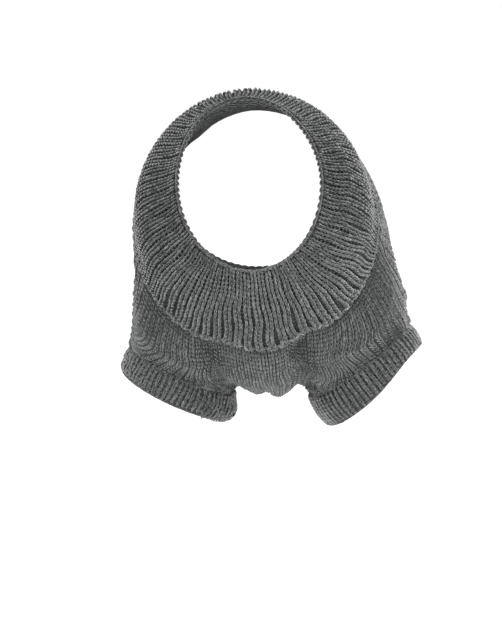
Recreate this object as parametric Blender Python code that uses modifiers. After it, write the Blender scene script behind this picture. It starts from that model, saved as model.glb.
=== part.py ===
"""Knitted dog sweater in its worn, hollow form, in metres.

+Z is up and the wearer faces -Y. The origin is where the back rests on the wearer's withers, on the
inside of the back panel. The pieces are open lofted surfaces, given their thickness by Solidify. They
are modelled upright, and one empty rolls the whole garment a little to one side.
"""

import math

import bmesh
import bpy
import numpy as np

# ---- Driving dimensions ----
KNIT_WALL = 0.002  # thickness of the plain knit
RIB_WALL = 0.0025  # thickness of the ribbed bands
COLLAR_GAP = 0.0010  # between the middle surfaces of body and collar, which meet at an angle
HEM_GAP = 0.0005  # between the middle surfaces of body and hem band
SIDE_GAP = 0.0007  # between the two panels along a side seam
ROLL = math.radians(5.5)  # the garment hangs rolled, its left side (+X) up
DROP = 0.0015  # sets the inside of the back panel on the origin

# A section is a ring in a plane that holds the X axis. low and high are its points at the belly and at
# the back, wide is the height at which it is widest, full is its superellipse exponent, and shift moves
# it sideways.
COLUMNS = (
    "y_low", "z_low", "y_high", "z_high", "half_width", "z_wide", "full_low", "full_high", "shift"
)
BODY = {
    "collar_seam": (-0.130, -0.118, -0.023, 0.005, 0.067, -0.057, 2.00, 1.93, -0.0018),
    "chest": (-0.122, -0.133, -0.014, 0.005, 0.069, -0.067, 2.05, 1.90, -0.0010),
    "brisket": (-0.106, -0.142, -0.001, 0.003, 0.071, -0.075, 2.05, 1.86, 0.0008),
    "elbow": (-0.076, -0.146, 0.020, 0.001, 0.0725, -0.079, 2.12, 1.88, 0.0015),
    "ribs": (-0.018, -0.147, 0.060, -0.001, 0.0735, -0.080, 2.15, 1.95, 0.0012),
    "flank": (0.055, -0.144, 0.120, -0.004, 0.073, -0.078, 2.10, 2.00, 0.0000),
    "waist": (0.130, -0.137, 0.192, -0.008, 0.069, -0.074, 2.05, 2.05, 0.0000),
    "hem_seam": (0.198, -0.130, 0.262, -0.012, 0.065, -0.071, 2.05, 2.05, 0.0000),
}
NECK_EDGE = (-0.138, -0.0740, -0.065, 0.012, 0.039, -0.031, 2.00, 2.00, -0.0030)
HEM_EDGE = (0.221, -0.127, 0.287, -0.014, 0.062, -0.069, 2.05, 2.05, 0.0000)

# The collar's band arches out between its two edges: at the throat, at each side and at the nape.
ARCH_THROAT = 0.0015
ARCH_LEFT = 0.0085
ARCH_RIGHT = 0.0082
ARCH_NAPE = 0.0060
RIDGE_SKEW = 0.87  # below 1 moves the arch's ridge towards the body

# The collar ends in a blunt point at the throat, because its edge rises towards the neck on both sides
# of it. u is the share of the half girth from the belly.
RISE_COLUMNS = ("u", "width", "height")
SEAM_RISES = {
    "right_of_the_point": (-0.095, 0.050, 0.0028),
    "left_of_the_point": (0.100, 0.050, 0.0042),
}
RISE_REACH = 0.8  # in sections: the body follows the edge over this stretch

SIDE_SEAM = 0.53  # share of the half girth, from the belly, at which the side seams run
HALF_GIRTH = 0.24  # of the body, about: it makes a share of the girth of the side seams' gap

# The leg openings lie in planes that rise outwards. across is half the opening's width up the plane's
# slope, along is half of it in Y. The cuff's depth differs from its belly end to its outer end, and its
# belly end curls away from the leg.
LEGS = {
    "cuff_left": dict(
        side=1, x=0.0483, y=-0.073, z=-0.1400, tilt=math.radians(31), across=0.0328, along=0.0320,
        deep_belly=0.0200, deep_out=0.0140, curl=0.0010,
    ),
    "cuff_right": dict(
        side=-1, x=-0.0498, y=-0.073, z=-0.1360, tilt=math.radians(30), across=0.0305, along=0.0320,
        deep_belly=0.0150, deep_out=0.0145, curl=0.0035,
    ),
}
LEG_REACH = 1.9  # the body starts to bend towards an opening this many radii from its centre
LEG_BEND = 2.0  # how late the body turns down into the opening: 1 is a cone
LEG_LIP = 1.3  # slope of the body where it meets the cuff, besides that bend
LEG_PLUG = 0.010  # the uncut body ends this far beyond the opening's plane
LEG_CLEAR_OF_COLLAR = 0.65  # in sections: the bend fades out over this stretch next to the collar
# Share of the cuff's depth, and how far its middle surface lies outside the opening's edge.
CUFF_PROFILE = ((0.00, 0.0), (0.10, 0.0), (0.36, 0.0010), (0.70, 0.0014), (1.00, 0.0004))
CUFF_GAP = 0.0003  # between the opening's plane and the cuff

# Folds of the body: a soft trough (negative height) or ridge along the line between two places, each
# given by u, the share of the half girth from the belly, and v, counted in sections from the collar.
FOLD_COLUMNS = ("u_from", "v_from", "u_to", "v_to", "width", "height")
FOLDS = {
    "hollow_by_right_leg": (-0.145, 0.10, -0.085, 2.80, 0.0060, -0.0048),
    "hollow_by_left_leg": (0.085, 0.10, 0.050, 2.80, 0.0055, -0.0056),
    "chest_lobe": (-0.015, 0.90, -0.010, 3.60, 0.0090, 0.0024),
    "pouch_over_right_cuff": (-0.300, 1.90, -0.360, 2.30, 0.0070, 0.0012),
    "pouch_over_left_cuff": (0.330, 1.60, 0.380, 2.20, 0.0075, 0.0022),
    "behind_right_leg": (-0.360, 3.20, -0.460, 4.60, 0.0090, -0.0030),
    "behind_left_leg": (0.340, 3.20, 0.420, 4.80, 0.0080, -0.0032),
    "right_shoulder": (-0.420, 0.90, -0.640, 2.60, 0.0080, -0.0022),
    "left_shoulder": (0.440, 0.80, 0.680, 2.40, 0.0085, -0.0025),
    "belly_sag": (-0.120, 3.60, 0.140, 4.20, 0.0100, -0.0022),
    "right_waist": (-0.350, 5.20, -0.620, 6.40, 0.0100, -0.0022),
    "left_waist": (0.500, 5.00, 0.300, 6.30, 0.0090, -0.0024),
    "back_ripple": (0.820, 3.60, 1.120, 4.20, 0.0110, -0.0018),
    "nape_ripple": (0.860, 1.00, 1.160, 1.60, 0.0080, -0.0016),
}
FOLD_STEPS = 12  # points that follow a fold's line over the body
FOLD_FADE = 0.35  # in sections: the folds die out over this stretch next to the body's end seams

# Mesh density: strips of faces.
FRONT_STRIPS, BACK_STRIPS = 38, 18
CHEST_ROWS, REAR_ROWS = 13, 10
COLLAR_ROWS, HEM_ROWS = 7, 4
CUFF_STRIPS = 26
CUTTER_SIDES, CUTTER_WIDTH, CUTTER_DEPTH = 48, 1.25, 0.024
RING_SAMPLES = 240  # points that measure a section's girth

HEATHER_GREY = (0.118, 0.122, 0.119)
RIB_GREY = (0.112, 0.116, 0.113)


def smoothstep(x):
    x = np.clip(x, 0.0, 1.0)
    return x * x * (3.0 - 2.0 * x)


def belly_step(first, second):
    """Distance at the belly between two sections."""
    return math.dist(first[:2], second[:2])


def section_at(table, v):
    """The section at v, counted in rows of the table, on a smooth curve through its rows."""
    last = len(table) - 1
    i = int(min(max(math.floor(v), 0), last - 1))
    f = v - i
    before, a, b, after = (table[min(max(k, 0), last)] for k in (i - 1, i, i + 1, i + 2))
    slope_a = (b - before) / 2 if i > 0 else b - a
    slope_b = (after - a) / 2 if i < last - 1 else b - a
    return (
        a * (2 * f**3 - 3 * f**2 + 1)
        + slope_a * (f**3 - 2 * f**2 + f)
        + b * (3 * f**2 - 2 * f**3)
        + slope_b * (f**3 - f**2)
    )


def ring(section, u):
    """Points of a section at the shares u of its half girth: 0 is the belly, 1 and -1 are the back."""
    s = dict(zip(COLUMNS, section))
    angle = np.linspace(0.0, math.pi, RING_SAMPLES)
    lower = angle <= math.pi / 2
    power = 2.0 / np.where(lower, s["full_low"], s["full_high"])
    share_wide = (s["z_wide"] - s["z_low"]) / (s["z_high"] - s["z_low"])
    x = s["half_width"] * np.abs(np.sin(angle)) ** power
    drop = np.abs(np.cos(angle)) ** power
    rise = np.where(lower, share_wide * (1 - drop), share_wide + (1 - share_wide) * drop)
    slant = math.hypot(s["y_high"] - s["y_low"], s["z_high"] - s["z_low"])
    step = np.hypot(np.diff(x), np.diff(rise) * slant)
    length = np.concatenate([[0.0], np.cumsum(step)])
    at = np.abs(u) * length[-1]
    x = np.sign(u) * np.interp(at, length, x) + s["shift"]
    rise = np.interp(at, length, rise)
    y = s["y_low"] + (s["y_high"] - s["y_low"]) * rise
    z = s["z_low"] + (s["z_high"] - s["z_low"]) * rise
    return np.stack([x, y, z], axis=-1)


def wrapped(u):
    """Shares past 1 continue from the back down the other side."""
    return np.where(u > 1.0, u - 2.0, u)


def normals_of(grid):
    """Unit normals of a grid of points, rows towards the hem and columns from right to left: outwards."""
    along, across = np.gradient(grid, axis=0), np.gradient(grid, axis=1)
    normal = np.cross(across, along)
    return -normal / np.linalg.norm(normal, axis=-1, keepdims=True)


def seam_rise(u):
    """Vectors that lift the edge between collar and body towards the neck."""
    edge = ring(np.array(BODY["collar_seam"]), u)
    to_neck = ring(np.array(NECK_EDGE), u) - edge
    to_neck /= np.linalg.norm(to_neck, axis=-1, keepdims=True)
    height = np.zeros(len(u))
    for rise in SEAM_RISES.values():
        r = dict(zip(RISE_COLUMNS, rise))
        height += r["height"] * np.exp(-(((u - r["u"]) / r["width"]) ** 2))
    return to_neck * height[:, None]


def leg_frame(leg):
    """Centre of a leg opening, its slope pointing outwards, and its axis pointing down and out."""
    centre = np.array((leg["x"], leg["y"], leg["z"]))
    slope = np.array((leg["side"] * math.cos(leg["tilt"]), 0.0, math.sin(leg["tilt"])))
    axis = np.array((leg["side"] * math.sin(leg["tilt"]), 0.0, -math.cos(leg["tilt"])))
    return centre, slope, axis


def bent_to_legs(grid, v):
    """Turns the body down into the leg openings: its depth along each opening's axis is blended with
    that of a lip, which passes through the opening's edge."""
    fade = smoothstep(np.asarray(v) / LEG_CLEAR_OF_COLLAR)[:, None]
    for leg in LEGS.values():
        centre, slope, axis = leg_frame(leg)
        offset = grid - centre
        depth = offset @ axis
        radii = np.hypot(offset @ slope / leg["across"], offset[..., 1] / leg["along"])
        share = np.clip((LEG_REACH - radii) / (LEG_REACH - 1.0), 0.0, 1.0) ** LEG_BEND * fade
        share = np.where(depth > -0.06, share, 0.0)  # leaves out the back, above the opening
        lip = np.clip((1.0 - radii) * leg["along"] * LEG_LIP, -0.003, LEG_PLUG)
        grid = grid + ((lip - depth) * share)[..., None] * axis
    return grid


def plain_surface(u, v):
    """The body's middle surface with its leg openings, before the folds."""
    table = np.array(list(BODY.values()))
    u = wrapped(u)
    follow = 1.0 - smoothstep(np.asarray(v) / RISE_REACH)
    grid = np.array([ring(section_at(table, row), u) for row in v])
    return bent_to_legs(grid + seam_rise(u) * follow[:, None, None], v)


def fold_line(u_from, v_from, u_to, v_to):
    """Points of the plain body under the line of a fold."""
    u = np.linspace(u_from, u_to, FOLD_STEPS)
    v = np.linspace(v_from, v_to, FOLD_STEPS)
    return np.array([plain_surface(u[i : i + 1], v[i : i + 1])[0, 0] for i in range(FOLD_STEPS)])


def distance_to(grid, line):
    """Distance from each point of the grid to a line of points."""
    nearest = np.full(grid.shape[:2], np.inf)
    for a, b in zip(line[:-1], line[1:]):
        share = ((grid - a) @ (b - a)) / ((b - a) @ (b - a))
        foot = a + np.clip(share, 0.0, 1.0)[..., None] * (b - a)
        nearest = np.minimum(nearest, np.linalg.norm(grid - foot, axis=-1))
    return nearest


def body_surface(u, v):
    """The body's middle surface: each fold is a soft bell across its line."""
    grid = plain_surface(u, v)
    height = np.zeros(grid.shape[:2])
    for fold in FOLDS.values():
        f = dict(zip(FOLD_COLUMNS, fold))
        line = fold_line(f["u_from"], f["v_from"], f["u_to"], f["v_to"])
        height += f["height"] * np.exp(-((distance_to(grid, line) / f["width"]) ** 2))
    v = np.asarray(v)[:, None]
    height *= smoothstep(v / FOLD_FADE) * smoothstep((len(BODY) - 1 - v) / FOLD_FADE)
    return grid + normals_of(grid) * height[..., None]


def collar_surface(u, t):
    """The collar's middle surface: t is 0 at the body and 1 at the neck's edge."""
    u = wrapped(u)
    outer = ring(np.array(BODY["collar_seam"]), u) + seam_rise(u)
    inner = ring(np.array(NECK_EDGE), u)
    side = np.where(u > 0, ARCH_LEFT, ARCH_RIGHT)
    front_part = smoothstep(np.abs(u) / 0.45)
    back_part = smoothstep((np.abs(u) - 0.55) / 0.45)
    arch = ARCH_THROAT + (side - ARCH_THROAT) * front_part + (ARCH_NAPE - side) * back_part
    flat = np.array([outer + (inner - outer) * row for row in t])
    height = arch[None, :] * np.sin(math.pi * np.asarray(t)[:, None] ** RIDGE_SKEW) ** 2
    return flat - normals_of(flat) * height[..., None]


def hem_surface(u, t):
    """The hem band's middle surface: t is 0 at the body and 1 at the free edge."""
    start = ring(np.array(BODY["hem_seam"]), wrapped(u))
    end = ring(np.array(HEM_EDGE), wrapped(u))
    return np.array([start + (end - start) * row for row in t])


def cuff_surface(leg, angles):
    """A cuff's middle surface, from its seam outwards; angle 0 is its outer end."""
    centre, slope, axis = leg_frame(leg)
    rows = []
    for share, outwards in CUFF_PROFILE:
        out = (1 + np.cos(angles)) / 2
        depth = leg["deep_belly"] + (leg["deep_out"] - leg["deep_belly"]) * out
        belly_end = np.exp(-(((angles - math.pi) / math.radians(35)) ** 2))
        past_edge = outwards + leg["curl"] * belly_end * smoothstep((share - 0.10) / 0.5)
        across = (leg["across"] + past_edge) * np.cos(angles)
        along = (leg["along"] + past_edge) * np.sin(angles)
        down = CUFF_GAP + share * depth
        rows.append(
            centre
            + across[:, None] * slope
            + along[:, None] * np.array((0.0, 1.0, 0.0))
            + down[:, None] * axis
        )
    return np.array(rows)


def material(name, colour):
    made = bpy.data.materials.new(name)
    made.use_nodes = True
    shader = made.node_tree.nodes["Principled BSDF"]
    shader.inputs["Base Color"].default_value = (*colour, 1.0)
    shader.inputs["Roughness"].default_value = 0.95
    shader.inputs["Metallic"].default_value = 0.0
    return made


def shell(name, grid, wall, closed, finish, home, roll):
    """An object from a grid of points, given a wall's thickness about its middle surface."""
    rows, columns = grid.shape[:2]
    mesh = bpy.data.meshes.new(name)
    build = bmesh.new()
    points = [[build.verts.new(p) for p in row] for row in grid]
    for r in range(rows - 1):
        for c in range(columns if closed else columns - 1):
            d = (c + 1) % columns
            build.faces.new((points[r][c], points[r][d], points[r + 1][d], points[r + 1][c]))
    bmesh.ops.recalc_face_normals(build, faces=build.faces)
    build.to_mesh(mesh)
    build.free()
    mesh.shade_smooth()
    mesh.materials.append(finish)
    piece = bpy.data.objects.new(name, mesh)
    home.objects.link(piece)
    piece.parent = roll
    thick = piece.modifiers.new("wall", "SOLIDIFY")
    thick.thickness = wall
    thick.offset = 0.0
    return piece


def leg_cutter(name, leg, home, roll):
    """A short wide cylinder beyond the plane of an opening, which cuts the body off along it."""
    centre, _, axis = leg_frame(leg)
    mesh = bpy.data.meshes.new(name)
    build = bmesh.new()
    bmesh.ops.create_cone(
        build, cap_ends=True, segments=CUTTER_SIDES, radius1=1.0, radius2=1.0, depth=CUTTER_DEPTH
    )
    wide = (CUTTER_WIDTH * leg["across"], CUTTER_WIDTH * leg["along"], 1.0)
    bmesh.ops.scale(build, vec=wide, verts=build.verts)
    build.to_mesh(mesh)
    build.free()
    cutter = bpy.data.objects.new(name, mesh)
    cutter.location = centre + axis * CUTTER_DEPTH / 2
    cutter.rotation_euler = (0.0, -leg["side"] * leg["tilt"], 0.0)
    cutter.parent = roll
    cutter.hide_render = True
    cutter.display_type = "WIRE"
    home.objects.link(cutter)
    return cutter


def main():
    for old in list(bpy.data.objects):
        bpy.data.objects.remove(old)
    scene = bpy.context.scene
    parts = bpy.data.collections.new("dog_sweater")
    cutters = bpy.data.collections.new("cutters")
    scene.collection.children.link(parts)
    scene.collection.children.link(cutters)
    roll = bpy.data.objects.new("roll", None)
    roll.rotation_euler = (0.0, -ROLL, 0.0)
    roll.location = (0.0, 0.0, -DROP)
    parts.objects.link(roll)

    knit = material("heather_knit", HEATHER_GREY)
    rib = material("heather_rib", RIB_GREY)

    sections = list(BODY.values())
    gap = SIDE_GAP / 2 / HALF_GIRTH
    front_u = np.linspace(-SIDE_SEAM + gap, SIDE_SEAM - gap, FRONT_STRIPS + 1)
    back_u = np.linspace(SIDE_SEAM + gap, 2 - SIDE_SEAM - gap, BACK_STRIPS + 1)
    all_u = np.concatenate([front_u, back_u[1:-1]])
    last = len(sections) - 1
    v = np.concatenate([np.linspace(0, 3, CHEST_ROWS), np.linspace(3, last, REAR_ROWS + 1)[1:]])
    v[0] += COLLAR_GAP / 2 / belly_step(sections[0], sections[1])
    v[-1] -= HEM_GAP / 2 / belly_step(sections[-2], sections[-1])

    body = body_surface(np.concatenate([front_u, back_u]), v)
    front = shell("front_panel", body[:, : len(front_u)], KNIT_WALL, False, knit, parts, roll)
    shell("back_panel", body[:, len(front_u) :], KNIT_WALL, False, knit, parts, roll)
    band = np.linspace(COLLAR_GAP / 2 / belly_step(sections[0], NECK_EDGE), 1.0, COLLAR_ROWS)
    shell("collar", collar_surface(all_u, band), RIB_WALL, True, rib, parts, roll)
    band = np.linspace(HEM_GAP / 2 / belly_step(sections[-1], HEM_EDGE), 1.0, HEM_ROWS)
    shell("hem_band", hem_surface(all_u, band), RIB_WALL, True, rib, parts, roll)

    angles = np.linspace(0.0, 2 * math.pi, CUFF_STRIPS, endpoint=False)
    for name, leg in LEGS.items():
        shell(name, cuff_surface(leg, angles), RIB_WALL, True, rib, parts, roll)
        cut = front.modifiers.new("opening_for_" + name, "BOOLEAN")
        cut.operation = "DIFFERENCE"
        cut.solver = "EXACT"
        cut.object = leg_cutter("cutter_" + name, leg, cutters, roll)


main()
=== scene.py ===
"""Looks of a knitted dog sweater in its worn, hollow form, in metres.

Each CAD node is replaced by a thin backing of its own form, and on it lies real knitting: every stitch
is a pair of short strands of yarn. Stitches are placed by column and row, counted over the cloth.
"""

import math

import bmesh
import bpy
import numpy as np
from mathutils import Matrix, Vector


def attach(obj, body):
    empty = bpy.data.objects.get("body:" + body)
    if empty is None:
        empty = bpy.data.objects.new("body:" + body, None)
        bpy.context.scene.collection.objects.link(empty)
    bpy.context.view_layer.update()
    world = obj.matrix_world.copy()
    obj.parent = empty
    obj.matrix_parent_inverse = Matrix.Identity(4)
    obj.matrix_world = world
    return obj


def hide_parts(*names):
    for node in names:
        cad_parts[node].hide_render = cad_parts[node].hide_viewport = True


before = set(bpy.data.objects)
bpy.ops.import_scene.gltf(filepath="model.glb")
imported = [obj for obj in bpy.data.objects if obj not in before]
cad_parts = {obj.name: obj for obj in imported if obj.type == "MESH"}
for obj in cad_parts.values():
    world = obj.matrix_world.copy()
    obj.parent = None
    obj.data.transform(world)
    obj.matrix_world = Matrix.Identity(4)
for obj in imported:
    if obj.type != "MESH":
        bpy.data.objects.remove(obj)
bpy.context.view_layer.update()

# ---- The garment's form, as in its CAD source ----
ROLL = math.radians(5.5)  # the garment hangs rolled, its left side (+X) up
DROP = 0.0015  # sets the inside of the back panel on the origin

# u is a share of a section's half girth: 0 at the belly, 1 and -1 at the back, above 0 on the left. v
# counts the sections from the collar. Each is a ring in a plane that holds the X axis: Y and Z at the
# belly, Y and Z at the back, half width, Z where it is widest, superellipse exponents below and above
# that, and shift sideways.
BODY = {
    "collar_seam": (-0.13, -0.118, -0.023, 0.005, 0.067, -0.057, 2.0, 1.93, -0.0018),
    "chest": (-0.122, -0.133, -0.014, 0.005, 0.069, -0.067, 2.05, 1.9, -0.001),
    "brisket": (-0.106, -0.142, -0.001, 0.003, 0.071, -0.075, 2.05, 1.86, 0.0008),
    "elbow": (-0.076, -0.146, 0.02, 0.001, 0.0725, -0.079, 2.12, 1.88, 0.0015),
    "ribs": (-0.018, -0.147, 0.06, -0.001, 0.0735, -0.08, 2.15, 1.95, 0.0012),
    "flank": (0.055, -0.144, 0.12, -0.004, 0.073, -0.078, 2.1, 2.0, 0.0),
    "waist": (0.13, -0.137, 0.192, -0.008, 0.069, -0.074, 2.05, 2.05, 0.0),
    "hem_seam": (0.198, -0.13, 0.262, -0.012, 0.065, -0.071, 2.05, 2.05, 0.0),
}
NECK_EDGE = (-0.138, -0.074, -0.065, 0.012, 0.039, -0.031, 2.0, 2.0, -0.003)
HEM_EDGE = (0.221, -0.127, 0.287, -0.014, 0.062, -0.069, 2.05, 2.05, 0.0)

# The collar's band arches out between its edges. With a skew below 1 its ridge lies nearer to the body.
ARCH_THROAT, ARCH_LEFT, ARCH_RIGHT, ARCH_NAPE = 0.0015, 0.0085, 0.0082, 0.006
ARCH_BLEND, RIDGE_SKEW = 0.45, 0.87  # the first is the stretch of u from the throat or nape to the side
# A crease of the collar on the left shoulder, which the CAD model leaves out: its height and place, how
# steeply it falls off, and how far the collar sinks around it.
KINK, KINK_U, KINK_WIDTH, KINK_T, KINK_STEEP, KINK_AROUND = 0.0048, 0.51, 0.15, 0.7, 0.16, 0.35

# The collar's edge rises towards the neck beside its blunt point at the throat: u, width and rise.
SEAM_RISES = {
    "right_of_the_point": (-0.095, 0.05, 0.0028),
    "left_of_the_point": (0.1, 0.05, 0.0042),
}
RISE_REACH = 0.8  # the body follows the edge over this stretch of v

SIDE_SEAM = 0.53  # u of the side seams

# The leg openings lie in planes that rise outwards. across is half the opening's width up the plane's
# slope, along is half of it in Y. The cuff's depth differs from its belly end to its outer end, and its
# belly end curls away from the leg. drawn_up shortens it between its front and its outer end, which the
# CAD model leaves out, and parting is how far the columns of stitches part on its outer side.
LEGS = {
    "cuff_left": dict(
        side=1, x=0.0483, y=-0.073, z=-0.14, tilt=math.radians(31), across=0.0328, along=0.032,
        deep_belly=0.02, deep_out=0.014, drawn_up=0.0032, curl=0.001, parting=-0.18,
    ),
    "cuff_right": dict(
        side=-1, x=-0.0498, y=-0.073, z=-0.136, tilt=math.radians(30), across=0.0305, along=0.032,
        deep_belly=0.015, deep_out=0.0145, drawn_up=0.0, curl=0.0035, parting=0.9,
    ),
}
LEG_REACH = 1.9  # the body bends towards an opening within so many radii of its centre
LEG_BEND = 2.0  # how late it turns down into the opening: 1 is a cone
LEG_LIP = 1.3  # its slope where it meets the cuff, besides that bend
LEG_RIM, LEG_PLUG = 0.003, 0.01  # it goes from this far above an opening's plane to this far past it
LEG_LEVEL = 0.06  # what lies further above the plane is the back, and isn't bent
LEG_CLEAR_OF_COLLAR = 0.65  # the bend fades in over this stretch of v next to the collar
# Share of the cuff's depth, and how far its middle surface lies outside the opening's edge.
CUFF_PROFILE = ((0.0, 0.0002), (0.08, 0.001), (0.36, 0.0016), (0.7, 0.0016), (1.0, 0.0005))
CUFF_GAP = 0.0003  # between the opening's plane and the cuff
DRAWN_UP_AT, DRAWN_UP_WIDTH = math.radians(-48), math.radians(38)
CURL_WIDTH = math.radians(35)  # round the opening, of the belly end that curls
CURL_FROM = (0.1, 0.5)  # shares of the cuff's depth

# Folds of the body: soft ridges, or troughs below 0, between two places: u, v, u, v, width and height.
FOLDS = {
    "hollow_by_right_leg": (-0.145, 0.1, -0.085, 2.8, 0.006, -0.0048),
    "hollow_by_left_leg": (0.085, 0.1, 0.05, 2.8, 0.0055, -0.0056),
    "chest_lobe": (-0.015, 0.9, -0.01, 3.6, 0.009, 0.0024),
    "pouch_over_right_cuff": (-0.3, 1.9, -0.36, 2.3, 0.007, 0.0012),
    "pouch_over_left_cuff": (0.33, 1.6, 0.38, 2.2, 0.0075, 0.0022),
    "behind_right_leg": (-0.36, 3.2, -0.46, 4.6, 0.009, -0.003),
    "behind_left_leg": (0.34, 3.2, 0.42, 4.8, 0.008, -0.0032),
    "right_shoulder": (-0.42, 0.9, -0.64, 2.6, 0.008, -0.0022),
    "left_shoulder": (0.44, 0.8, 0.68, 2.4, 0.0085, -0.0025),
    "belly_sag": (-0.12, 3.6, 0.14, 4.2, 0.01, -0.0022),
    "right_waist": (-0.35, 5.2, -0.62, 6.4, 0.01, -0.0022),
    "left_waist": (0.5, 5.0, 0.3, 6.3, 0.009, -0.0024),
    "back_ripple": (0.82, 3.6, 1.12, 4.2, 0.011, -0.0018),
    "nape_ripple": (0.86, 1.0, 1.16, 1.6, 0.008, -0.0016),
}
# Shallower creases, which the CAD model leaves out.
CREASES = {
    "left_shoulder_drag": (0.43, 2.7, 0.8, 4.3, 0.008, -0.0032),
    "right_shoulder_drag": (-0.4, 2.8, -0.76, 4.6, 0.0085, -0.0032),
    "left_upper_drag": (0.54, 1.7, 0.9, 3.1, 0.007, -0.0024),
    "right_upper_drag": (-0.58, 1.9, -0.93, 3.4, 0.0075, -0.0024),
    "left_slack": (0.36, 4.5, 0.72, 5.3, 0.0095, -0.003),
    "left_slack_ridge": (0.33, 4.95, 0.6, 5.7, 0.008, 0.002),
    "right_slack": (-0.32, 4.2, -0.68, 5.0, 0.009, -0.0032),
    "right_slack_ridge": (-0.3, 4.75, -0.56, 5.4, 0.0075, 0.0018),
    "belly_crease": (-0.2, 4.9, 0.17, 5.35, 0.009, -0.0028),
    "belly_crease_low": (-0.06, 5.7, 0.26, 6.1, 0.008, -0.0022),
    "left_hem_gather": (0.42, 6.0, 0.47, 7.0, 0.0065, -0.0028),
    "left_hem_gather_2": (0.68, 6.3, 0.66, 7.0, 0.006, -0.0022),
    "right_hem_gather": (-0.52, 5.9, -0.47, 7.0, 0.007, -0.0028),
    "right_hem_gather_2": (-0.76, 6.4, -0.78, 7.0, 0.006, -0.002),
    "back_crease": (0.77, 4.9, 1.19, 5.45, 0.01, -0.0026),
    "back_crease_front": (0.83, 2.4, 1.13, 2.75, 0.0085, -0.0022),
    "belly_gap": (0.052, 1.5, 0.019, 3.3, 0.005, -0.0046),
    "belly_gap_right": (-0.085, 1.8, -0.066, 3.3, 0.004, -0.0012),
    "belly_lobe_left": (0.01, 1.1, -0.01, 3.2, 0.004, 0.0016),
    "belly_lobe_right": (-0.036, 1.3, -0.046, 3.2, 0.0034, 0.0016),
    "between_belly_lobes": (-0.004, 0.9, -0.031, 3.2, 0.002, -0.001),
    "right_side_slack": (-0.33, 1.2, -0.36, 2.2, 0.0085, 0.0018),
    "left_side_slack": (0.38, 1.4, 0.4, 2.3, 0.0085, 0.0004),
    "left_cuff_overhang": (0.29, 2.35, 0.34, 2.42, 0.0042, 0.0036),
}
FOLD_STEPS = 12  # points that follow a fold's line over the body
FOLD_FADE = 0.35  # they die out over this stretch of v next to the body's end seams
RING_SAMPLES = 240  # points that measure a section's girth

# ---- The knitting ----
FRONT_COLUMNS, BACK_COLUMNS = 72, 64  # of stitches, from side seam to side seam
SEAM_SINK, SEAM_WIDTH = 0.0005, 0.8  # how far the side seams sink in, over so many columns
# Over the legs' outer sides the cloth is gathered: every other column lies deeper, around this X, in
# front of this Y.
GATHER_X, GATHER_WIDTH, GATHER_Y = 0.077, 0.02, (-0.045, 0.03)
# How much deeper those columns lie, and how much shade is painted on them.
GATHER_DEEP, GATHER_SHADE = 0.0005, 0.15
PART_FROM = (0.6, 1.6)  # v, and a stretch of it, where the columns start to part for the legs
PART_INNER = 0.85  # how far they do so between the legs: 1 is right round the opening
PART_WITHIN = (0.38, 0.12)  # they do so up to this u, and less over the next stretch
PART_ABOVE = 0.01  # and less from this far above an opening's plane
BODY_STITCH = 0.0036  # width of a stitch
CHEST_SPREAD = 0.14  # stitches at the middle of the chest are more open by this share
FLANK_CLOSED, FLANK_FLAT = 0.32, 0.4  # and those on the flanks more closed, and flatter
CHEST_X, CHEST_OVER = 0.05, 0.02  # where the one goes over into the other
FLANK_Y = (0.04, 0.08)  # and where the flanks end
BODY_ROW, RIB_ROW, CUFF_ROW = 0.00245, 0.0023, 0.0021  # heights of a row
RIBS, CUFF_RIBS = 80, 66  # round the collar and the hem band, and round a cuff
RIB_LEAN = {1: 0.12, -1: 0.055}  # stretch of u by which the collar's ribs lean, on each side
RIB_LEAN_AT, RIB_LEAN_WIDTH = 0.28, 0.14  # u where they lean most
COLUMN_LEAN = {1: 0.045, -1: 0.02}  # and the body's columns, under the collar, the other way
LEAN_AT, LEAN_WIDTH = 0.17, 0.09
# Over the legs' outer sides the columns sag by this stretch of u, on each side, around this u and v.
SAG = {1: 0.045, -1: 0.03}
SAG_U, SAG_WIDTH, SAG_V, SAG_OVER = 0.39, 0.1, 2.0, 0.9
PER_COLUMN, PER_ROW = 4, 2  # samples of the cloth in a column and in a row
BODY_STEPS, COLLAR_STEPS, HEM_STEPS, CUFF_STEPS = 169, 57, 9, 17  # of the surfaces, from end to end
PANEL_REACH, PANEL_FINE = 1.08, 6  # how far a panel is worked out, in half widths, and places a column
COLLAR_REACH, COLLAR_FINE = 1.2, 704  # in half girths, how far the collar is, and at how many places
PAD = 2  # columns of the cloth past its first and its last
OVERHANG = 0.006  # the cloth is carried on this far past its edges, for the ends of strands
BACKING = 0.0008  # thickness of the cloth behind the stitches
BEHIND_PLAIN = -0.00015  # its height over the middle of the CAD wall, behind the plain stitches
BEHIND_RIDGE = 0.0006  # it lies this far below the ridges of the ribs

# ---- Camera, which sees the front of the garment a little from above ----
CAMERA_TARGET = (0.0013, -0.13, -0.104)
CAMERA_ELEVATION, CAMERA_DISTANCE = math.radians(10), 1.1
PIXELS_PER_METRE, IMAGE_HEIGHT, SENSOR = 1880, 642, 36.0  # the first is at the target
FLOOR_Z, FLOOR_HALF, TABLE_EDGE = -0.27, 12.0, 0.372
TABLE_GLOW, BEYOND_GLOW = 0.42, 0.06
FLOOR_FINISH = {
    "Base Color": (0.965, 0.97, 0.985, 1.0), "Roughness": 0.8, "Specular IOR Level": 0.1,
    "Emission Color": (1.0, 1.0, 1.0, 1.0),
}
LIGHTS_AIM = (0.0, 0.02, -0.08)
OVERHEAD = 0.45  # brightness of the studio overhead, as a share of that round the horizon


def smoothstep(x):
    x = np.clip(x, 0.0, 1.0)
    return x * x * (3.0 - 2.0 * x)


def bell(x, at, width):
    """1 at a place, and falls off softly to both sides of it."""
    return np.exp(-(((x - at) / width) ** 2))


def rising(x, start, over):
    """0 up to start, and 1 after the next stretch."""
    return smoothstep((x - start) / over)


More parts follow.
